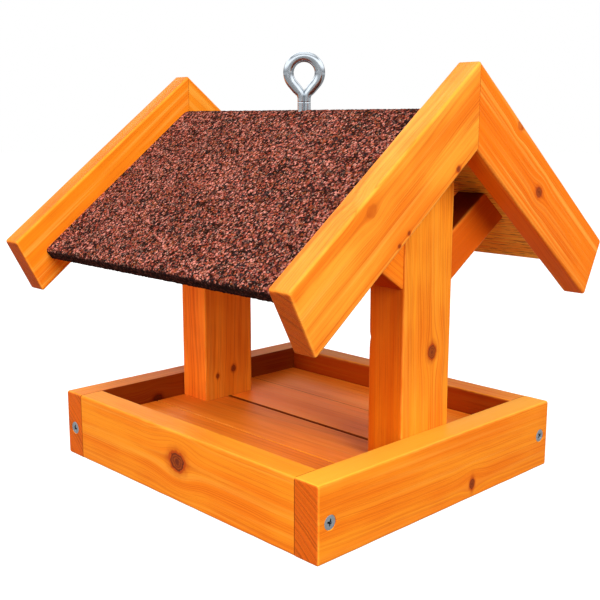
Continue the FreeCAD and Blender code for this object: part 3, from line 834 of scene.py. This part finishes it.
class BIRD_TABLE_OT_floor_planks(bpy.types.Operator):
    """Four floor planks along the ridge, with an open gap in the middle"""
    bl_idname = "bird_table.floor_planks"
    bl_label = "Floor Planks"

    # Pith, knots, how much lighter the plank is painted to lift the shade on it, edge painted dark
    # as shade in the gap, and radii of the two top edges
    PLANKS = {
        "left_outer": ((-34, 48), ((55.0, 3.5, 1.2, 0.6),), 1.0, X, ("worn", 0.3)),
        "left_inner": ((30, -60), (), 1.0, X, (0.3, "worn")),
        "right_inner": ((-55, 36), ((-52.0, -9.0, 2.4, 0.6),), 1.25, -X, (0.3, 0.3)),
        "right_outer": ((26, 44), (), 1.1, -X, (0.3, 0.3)),
    }
    # The joint on the right is drawn nearly closed
    CLOSING = {"right_inner": (0, 0.18), "right_outer": (-0.18, 0)}

    def execute(self, context):
        stain = context.scene.bird_table.floor
        worn = context.scene.bird_table.boards.plank_arris * MM
        axes = (Y, X, Z)
        for seed, (hand, (pith, knots, painted_lift, edge, tops)) in enumerate(self.PLANKS.items()):
            name = f"floor_plank_{hand}"
            low, high = extent(name)
            closing = self.CLOSING.get(hand, (0, 0))
            low[0] += closing[0]
            high[0] += closing[1]
            radii = [0.2, 0.2] + [worn if top == "worn" else top for top in tops]
            wood = planed(axes, low[[0, 2]], high[[0, 2]], low[1], high[1], seed + 20, radii=radii)
            grain = Grain((low + high) / 2 * (X + Z), axes, pith, seed + 9, knots=knots)
            # Gap sides get painted shade; the right planks are painted lighter.
            wooden(name, wood, stained_wood(
                f"stained_floor_{hand}", grain, [painted_lift * c for c in stain.light],
                [painted_lift * c for c in stain.deep], tuple(stain.latewood), 3.4, 0.42,
                knot=(0.09, 0.02, 0.008), end_grain=(0.24, 0.06, 0.015), pale=(0.85, 0.29, 0.030),
                contrast=0.75, lines=0.6, sheen=0.10,
                sides=[(edge, "MULTIPLY", (0.16, 0.06, 0.06), 1)]))
        return {"FINISHED"}


class BIRD_TABLE_OT_floor_cleats(bpy.types.Operator):
    """Stain for the two cleats under the floor"""
    bl_idname = "bird_table.floor_cleats"
    bl_label = "Floor Cleats"

    def execute(self, context):
        for seed, (end, side) in enumerate(ENDS, 31):
            name = f"floor_cleat_{end}"
            grain = Grain((0, side * 82, 9), (X, Z, Y), (-22, 26), seed)
            finish_node(name, pine(name, grain))
        return {"FINISHED"}


class BIRD_TABLE_OT_posts(bpy.types.Operator):
    """Two posts, each cut to a peak under the roof"""
    bl_idname = "bird_table.posts"
    bl_label = "Posts"

    # Pith, knots, stain, painted light and shade on the left face, and dents in an arris
    POSTS = {
        "front": ((-46, 58), ((83.3, 4.2, 3.2, 0.85), (158, -9, 1.8, 0.5)),
                  (0.86, 0.312, 0.019), (0.81, 0.46, 0.21), ((72, 3, 1.3, 2.2),)),
        "back": ((52, 44), ((40.3, -10.0, 1.2, 0.9), (43.1, 3.5, 1.7, 0.9), (120, -6, 2.2, 0.5)),
                 (0.92, 0.30, 0.020), (1.28, 0.98, 1.2), ()),
    }

    def execute(self, context):
        axes = (Z, X, Y)
        for seed, (end, side) in enumerate(ENDS):
            name = f"post_{end}"
            low, high = extent(name)
            pith, knots, stain, left_face_light_and_shade, dents = self.POSTS[end]
            wood = planed(
                axes, low[:2], high[:2], low[2], lambda v: POST_PEAK - abs(v) * FALL, seed + 40,
                splits=(0.0,), dents=dents)
            grain = Grain((low + high) / 2 * Y, axes, pith, seed + 5, lean=0.03, knots=knots)
            # The left face gets painted shade on the front post, painted light on the back one.
            piece = wooden(name, wood, pine(
                name, grain, spacing=2.3, light=stain, contrast=0.9, lines=1.0, streaks=0.3,
                sides=[(-X, "MULTIPLY", left_face_light_and_shade, 1)]))
            screw = (0, side * POST_FACE, BEAM_SCREW_HEIGHT)
            cut_away(piece, [countersink(screw, -side * Y)])
        return {"FINISHED"}


class BIRD_TABLE_OT_roof_arms(bpy.types.Operator):
    """Four slanted arms from the posts up to the roof panels"""
    bl_idname = "bird_table.roof_arms"
    bl_label = "Roof Arms"

    # Left arms painted lighter and right arms darker: painted light and painted shade.
    LIT_AND_SHADED_STAINS = {"left": ((0.92, 0.255, 0.011), (0.80, 0.150, 0.006)),
              "right": ((0.62, 0.112, 0.004), (0.50, 0.070, 0.002))}

    def execute(self, context):
        rise, run = math.sin(ARM_PITCH), math.cos(ARM_PITCH)
        reach = POST_PEAK - ARM_FOOT - POST_HALF_WIDTH * FALL
        pairs = [(end, *hand) for end, _ in ENDS for hand in HANDS]
        for seed, (end, hand, side) in enumerate(pairs, 50):
            name = f"roof_arm_{end}_{hand}"
            low, high = extent(name)
            axes = (np.array((side * run, 0, rise)), np.array((-side * rise, 0, run)), Y)
            foot = np.array((side * POST_HALF_WIDTH, 0, ARM_FOOT))
            wood = planed(
                axes, (0, low[1]), (ARM_WIDTH, high[1]), lambda v: v * math.tan(ARM_PITCH),
                lambda v: (reach - v * (run - rise * FALL)) / (rise + run * FALL), seed,
                origin=foot)
            grain = Grain(foot + (low + high) / 2 * Y, axes, (-26, 18 * side), seed)
            light, deep = self.LIT_AND_SHADED_STAINS[hand]
            # The underside and the top of each arm get painted shade.
            wooden(name, wood, pine(
                name, grain, light=light, deep=deep, spacing=2.3, contrast=0.7, lines=0.6,
                streaks=0.1, sides=[(-axes[1], "MULTIPLY", (0.50, 0.15, 0.14), 1),
                                    (axes[1], "MULTIPLY", (0.16, 0.04, 0.1), 1)]))
        return {"FINISHED"}


class BIRD_TABLE_OT_ridge_beam(bpy.types.Operator):
    """Stain for the ridge beam between the posts, painted nearly black as shade under the roof"""
    bl_idname = "bird_table.ridge_beam"
    bl_label = "Ridge Beam"

    def execute(self, context):
        grain = Grain((0, 0, 180), (Y, X, Z), (-14, -34), 61, knots=((22, 5, 2.0, 0.7),))
        # The beam's near-black stain is painted shade.
        beam = pine("ridge_beam", grain, light=(0.20, 0.026, 0.003), deep=(0.15, 0.018, 0.002))
        finish_node("ridge_beam", beam)
        return {"FINISHED"}


class BIRD_TABLE_OT_roof_panels(bpy.types.Operator):
    """Rough stained plywood under the felt"""
    bl_idname = "bird_table.roof_panels"
    bl_label = "Roof Panels"

    def execute(self, context):
        for (hand, side), shift in zip(HANDS, (5.0, 14.0)):
            finish_node(f"roof_panel_{hand}", self.plywood(hand, side, shift))
        return {"FINISHED"}

    def plywood(self, hand, side, shift):
        """Rotary-cut veneer with its grain along the ridge, torn fibres and dark checks."""
        down, inward, along = slope_axes(side)
        paint = new_paint(f"stained_plywood_{hand}")
        place = paint.place()
        s, y, d = [paint.dot(place, axis) for axis in (down, along, -inward)]
        flow = paint.streaks(y / 60 + shift, s / 16, d) - 0.5
        veneer = paint.streaks(y / 50 + shift, s / 2.2 + flow * 5, d, 4, 0.7)
        check = paint.streaks(y / 12, s / 0.8 + shift, d, 2, 0.6)
        chip = paint.streaks(y / 4, s / 1.5, d + shift, 3, 0.7)
        tone = paint.layered(
            (1.0, 0.64, 0.11), (veneer, 0.38, 0.70, 1, (0.90, 0.36, 0.040)),
            (check, 0.55, 0.66, 0.9, (0.12, 0.032, 0.008)),
            (chip, 0.62, 0.75, 0.4, (0.95, 0.56, 0.14)))
        relief = veneer * 0.5 + chip * 0.4 - paint.ramp(check, 0.6, 0.72) * 0.7
        return paint.finish(tone, 0.72, relief, 0.0004, 0.8, Specular_IOR_Level=0.25)


class BIRD_TABLE_OT_roofing_felt(bpy.types.Operator):
    """One sheet of mineral felt, folded over the ridge and down over both eaves"""
    bl_idname = "bird_table.roofing_felt"
    bl_label = "Roofing Felt"

    STEP = 1.05
    RIDGE_BEND = 6.0
    # Where single dark lumps sit on the slopes
    LUMPS = ((-68.1, 8.9, 160.6), (-83.3, -14.1, 148.9), (-79.8, -18.8, 151.6),
             (52.0, -31.0, 168.8), (88.0, 57.0, 141.2))

    def execute(self, context):
        felt = context.scene.bird_table.felt
        outer, inner = self.outline()
        rows = np.linspace(-FELT_HALF_LENGTH, FELT_HALF_LENGTH,
                           int(2 * FELT_HALF_LENGTH / self.STEP) + 1)
        line = np.concatenate([outer, inner])
        grid = np.zeros((len(rows), len(line), 3))
        grid[:, :, 0], grid[:, :, 2] = line[:, 0], line[:, 1]
        grid[:, :, 1] = rows[:, None]

        # Granules lift and shift every point but those on the sheet's edges
        rng = np.random.default_rng(5)
        size = (len(rows), len(outer))
        height = rng.uniform(-0.5, 0.5, size) * felt.relief * MM
        slip = rng.uniform(-0.3, 0.3, size) * self.STEP
        run = rng.uniform(-0.3, 0.3, size) * self.STEP
        for ends in (height, run):
            ends[[0, -1]] = 0
        slip[:, [0, -1]] = 0
        tangent = np.gradient(outer, axis=0)
        tangent /= np.linalg.norm(tangent, axis=1)[:, None]
        sheet = grid[:, :len(outer)]
        sheet[:, :, 0] += tangent[:, 0] * slip - tangent[:, 1] * height
        sheet[:, :, 2] += tangent[:, 1] * slip + tangent[:, 0] * height
        sheet[:, :, 1] += run
        piece = mesh_piece(
            "roofing_felt", grid.reshape(-1, 3), tube_faces(len(rows), len(line)),
            self.material(felt), crease=60)
        cut_away(piece, [tool_object(*lathe([(3.7, 190), (3.7, 220)]))])
        return {"FINISHED"}

    def outline(self):
        """Outer line from the left eave over the ridge to the right one, and the inner line."""
        def at(s, d):
            return s * RUN - d * RISE, RIDGE - s * RISE - d * RUN

        edge = PANEL_LENGTH + FELT_THICK
        flat, top = edge - FELT_FOLD, FELT_DROP * FALL + self.RIDGE_BEND
        half = [at(edge, d) for d in np.linspace(FELT_FOOT, FELT_DROP + FELT_FOLD, 5)]
        half += [at(flat + FELT_FOLD * math.cos(a), FELT_DROP + FELT_FOLD * (1 - math.sin(a)))
                 for a in np.radians(np.linspace(15, 75, 4))]
        half += [at(s, FELT_DROP) for s in np.linspace(flat, top, int((flat - top) / self.STEP))]
        radius = self.RIDGE_BEND / FALL
        centre = RIDGE - FELT_DROP / RUN - radius / RUN
        half += [(radius * math.sin(a), centre + radius * math.cos(a))
                 for a in np.linspace(PITCH, 0, 7)[1:]]
        right = np.array(half)
        outer = np.concatenate([right, right[::-1][1:] * (-1, 1)])[::-1]
        under = FELT_DROP + FELT_THICK
        inside = np.array([at(PANEL_LENGTH, FELT_FOOT), at(PANEL_LENGTH, under)])
        ridge = [(0, RIDGE - under / RUN)]
        return outer, np.concatenate([inside, ridge, inside[::-1] * (-1, 1)])

    def material(self, felt):
        red, pink, maroon, black, slate = [
            tuple(c) for c in (felt.red, felt.pink, felt.maroon, felt.black, felt.slate)]
        paint = new_paint("mineral_felt")
        place = paint.place()
        swerve = paint.noise(place, 0.9)["Color"]
        warp = paint.node("VectorMath", {"operation": "SCALE"}, swerve, Scale=0.9)
        moved = paint.node("VectorMath", {"operation": "ADD"}, place, warp)
        scale = 1 / (felt.granule * MM)
        cells, fine = [paint.node("TexVoronoi", None, Vector=moved, Scale=k * scale)
                       for k in (1, 2.1)]
        tint = paint.node("SeparateColor", None, cells["Color"])
        grit = paint.node("SeparateColor", None, fine["Color"])
        pick, shade = tint["Red"], tint["Green"]
        cloud = paint.noise(place, 0.05, 3)
        blend = pick * 0.8 + grit["Blue"] * 0.2 + (cloud - 0.5) * 0.45
        clump = paint.noise(place, 0.26) + (grit["Blue"] - 0.5) * 0.12
        blush = paint.noise(place, 0.22) + (pick - 0.5) * 0.15
        tone = paint.layered(
            black, (blend, 0.33, 0.39, 1, maroon), (blend, 0.45, 0.51, 1, red),
            (blend, 0.62, 0.88, 1, pink), (shade, 0.80, 0.84, 0.6, (0.30, 0.075, 0.024)),
            (grit["Red"], 0.74, 0.78, 0.8, slate), (clump, 0.60, 0.68, 0.6, slate),
            (blush, 0.55, 0.68, 0.45, (1.0, 0.62, 0.45), "MULTIPLY"),
            (grit["Green"], 0.90, 0.94, 0.6, (0.46, 0.27, 0.20)),
            (cells["Distance"], 0.46, 0.70, 0.75, black))
        lumps = None
        for lump in self.LUMPS:
            away = paint.node("VectorMath", {"operation": "DISTANCE"}, moved, lump)
            lumps = paint.larger(lumps, paint.ramp(away + shade * 1.5, 2.2, 4.2, 1, 0))
        tone = paint.mix(lumps * 0.85, tone, black)

        # The turned-down edge is darker: bitumen shows there, and its downward face gets painted
        # shade
        side = paint.maths("ABSOLUTE", paint.dot(place, X))
        rise = side * RISE - (RIDGE - paint.dot(place, Z)) * RUN
        lip = paint.ramp(rise + grit["Green"] * 0.8, -FELT_DROP - 1.2, -FELT_DROP - 0.2, 1, 0)
        tone = paint.mix(lip * 0.88, tone, (0.014, 0.008, 0.008))
        relief = (1 - cells["Distance"]) * 0.7 + (1 - fine["Distance"]) * 0.3 + shade * 0.5
        gloss = paint.ramp(pick, 0.2, 0.8, 0.62, 0.85)
        return paint.finish(tone, gloss, relief, 0.0006, 0.8, Specular_IOR_Level=0.0)


class BIRD_TABLE_OT_bargeboards(bpy.types.Operator):
    """Two pairs of bargeboards, mitred at the ridge"""
    bl_idname = "bird_table.bargeboards"
    bl_label = "Bargeboards"

    # Stain, pith and knots
    BOARDS = {
        ("front", "left"): ((0.80, 0.316, 0.027), (78, 34), (
            (102.8, 6.2, 2.6, 0.22), (43.4, 31.2, 1.3, 0.9), (89.2, 31.4, 0.8, 0.8),
            (97.8, 31.6, 0.8, 0.8))),
        ("front", "right"): ((0.76, 0.178, 0.005), (-62, 40), (
            (85.1, 17.5, 2.4, 0.8), (48, 2.0, 2.0, 0.35))),
        ("back", "left"): ((0.76, 0.210, 0.008), (-48, -52), ((60, 21, 2.4, 0.7),)),
        ("back", "right"): ((0.76, 0.225, 0.009), (66, -30), (
            (112, 12, 2.8, 0.7), (38, 27, 1.5, 0.8))),
    }

    def execute(self, context):
        soft = context.scene.bird_table.boards.arris * MM
        sides = dict(HANDS)
        for seed, ((end, hand), (stain, pith, knots)) in enumerate(self.BOARDS.items(), 70):
            name = f"bargeboard_{end}_{hand}"
            low, high = extent(name)
            axes = slope_axes(sides[hand])
            wood = planed(
                axes, (0, low[1]), (BARGE_WIDTH, high[1]), lambda v: v * FALL,
                lambda v: BARGE_LENGTH + v * math.tan(BARGE_END_CUT), seed, origin=(0, 0, RIDGE),
                end_radii=(0.2, soft))
            grain = Grain((low + high) / 2 * Y + RIDGE * Z, axes, pith, seed, knots=knots)
            # The top edge is painted paler: painted light.
            wooden(name, wood, pine(
                name, grain, light=stain, spacing=4.6, contrast=1.0, lines=0.9, streaks=0.7,
                sides=[(-axes[1], "MULTIPLY", (1.0, 0.94, 1.4), 1)],
                end_grain=(0.42, 0.058, 0.003)))
        return {"FINISHED"}


class BIRD_TABLE_OT_eye_bolt(bpy.types.Operator):
    """Wire eye with its two legs closed together over a threaded shank, washer and nut"""
    bl_idname = "bird_table.eye_bolt"
    bl_label = "Eye Bolt"

    def execute(self, context):
        points, faces = self.wire()
        base = len(points)
        more, shank = lathe(self.shank_profile())
        mesh_piece("eye_bolt", points + more, faces + [tuple(base + k for k in f) for f in shank],
                   zinc("eye_bolt"), crease=50)
        finish_node("eye_bolt_washer", zinc("washer"))
        finish_node("eye_bolt_nut", zinc("nut"))
        return {"FINISHED"}

    def wire(self):
        """A round wire swept up one leg, round the eye and down the other leg."""
        half_turn = math.pi / 2 + math.asin(EYE_RADIUS / EYE_THROAT)
        arc = np.linspace(-half_turn, half_turn, 65)
        eye = np.column_stack([EYE_RADIUS * np.sin(arc), EYE_CENTRE + EYE_RADIUS * np.cos(arc)])
        neck = np.array((-1.62, 217.2))
        knee = np.array((-1.62, 219.6))
        throat = np.array((0, EYE_CENTRE - EYE_THROAT))
        bend = (eye[0] - throat) * 0.36 + throat
        steps = np.linspace(0, 1, 25)[:, None]
        curve = (1 - steps) ** 2 * neck + 2 * (1 - steps) * steps * knee + steps ** 2 * bend
        stem = np.column_stack([np.full(30, neck[0]), np.linspace(208.5, neck[1], 31)[:-1]])
        slant = bend + (eye[0] - bend) * np.linspace(0, 1, 7)[1:-1, None]
        leg = np.concatenate([stem, curve, slant])
        path = np.concatenate([leg, eye, leg[::-1] * (-1, 1)])

        # The legs are pressed flat where they meet, over a fine groove
        closing = np.clip((222.5 - path[:, 1]) / 5.0, 0, 1) * (np.abs(path[:, 0]) < 6)
        groove = 0.16 * np.exp(-((path[:, 1] - 215.2) / 0.16) ** 2)
        widths = EYE_WIRE - 0.85 * closing - groove
        depths = EYE_WIRE + 0.3 * closing - groove
        tangents = np.gradient(path, axis=0)
        tangents /= np.linalg.norm(tangents, axis=1)[:, None]
        facing = np.array((1, -1, 0)) / math.sqrt(2)
        thick = np.cross(facing, Z)
        ring = 28
        points = []
        for (a, z), (ta, tz), width, depth in zip(path, tangents, widths, depths):
            side = -tz * facing + ta * Z
            points += [a * facing + z * Z + width * math.cos(k) * side + depth * math.sin(k) * thick
                       for k in 2 * math.pi * np.arange(ring) / ring]
        return points, tube_faces(len(path), ring)

    def shank_profile(self):
        """The shank, with a soft shoulder at the top and a rolled thread below."""
        profile = [(2.6, 150.0)]
        for z in 150.6 + np.arange(36):
            profile += [(3.12, z), (3.5, z + 0.25), (3.5, z + 0.4), (3.12, z + 0.7)]
        return profile + [(3.5, 187), (3.5, 208.0), (3.2, 208.8), (2.0, 209.0)]


class BIRD_TABLE_OT_fasteners(bpy.types.Operator):
    """Corner screws with cross recesses; zinc for the hidden fasteners, beech for the dowels"""
    bl_idname = "bird_table.fasteners"
    bl_label = "Fasteners"

    def execute(self, context):
        for name, places in SCREW_PLACES.items():
            screw_set(name, places)
        for name in ("cleat_screws", "post_foot_screws", "floor_brads", "ridge_beam_screws",
                     "roof_panel_nails", "bargeboard_pins"):
            finish_node(name, zinc(name))
        grain = Grain((0, 83.5, 134), (X, Z, Y), (-20, 20), 90)
        beech = stained_wood("plain_beech_dowels", grain, (0.62, 0.38, 0.20),
                             (0.50, 0.29, 0.14), (0.36, 0.19, 0.09), 1.6, 0.55)
        finish_node("roof_arm_dowels", beech)
        return {"FINISHED"}


class BIRD_TABLE_PT_panel(bpy.types.Panel):
    """Bird table"""
    bl_idname = "BIRD_TABLE_PT_panel"
    bl_label = "Bird Table"
    bl_space_type = "VIEW_3D"
    bl_region_type = "UI"
    bl_category = "Bird Table"

    def draw(self, context):
        column = self.layout.column(align=True)
        for operator in OPERATORS:
            column.operator(operator.bl_idname)
        settings = context.scene.bird_table
        for title in ("pine", "floor", "boards", "felt", "zinc", "studio"):
            box = self.layout.box()
            box.label(text=title.capitalize())
            group = getattr(settings, title)
            for key in group.bl_rna.properties.keys():
                if key not in ("rna_type", "name"):
                    box.prop(group, key)


SETTINGS = (PineSettings, FloorSettings, BoardSettings, FeltSettings, ZincSettings,
            StudioSettings, BirdTableSettings)
OPERATORS = (
    BIRD_TABLE_OT_stage, BIRD_TABLE_OT_tray_boards, BIRD_TABLE_OT_floor_planks,
    BIRD_TABLE_OT_floor_cleats, BIRD_TABLE_OT_posts, BIRD_TABLE_OT_roof_arms,
    BIRD_TABLE_OT_ridge_beam, BIRD_TABLE_OT_roof_panels, BIRD_TABLE_OT_roofing_felt,
    BIRD_TABLE_OT_bargeboards, BIRD_TABLE_OT_eye_bolt, BIRD_TABLE_OT_fasteners,
)
CLASSES = SETTINGS + OPERATORS + (BIRD_TABLE_PT_panel,)


def register():
    for item in CLASSES:
        bpy.utils.register_class(item)
    bpy.types.Scene.bird_table = PointerProperty(type=BirdTableSettings)


def unregister():
    del bpy.types.Scene.bird_table
    for item in reversed(CLASSES):
        bpy.utils.unregister_class(item)


def main():
    register()
    for operator in OPERATORS:
        category, action = operator.bl_idname.split(".")
        getattr(getattr(bpy.ops, category), action)()


if __name__ == "__main__":
    main()
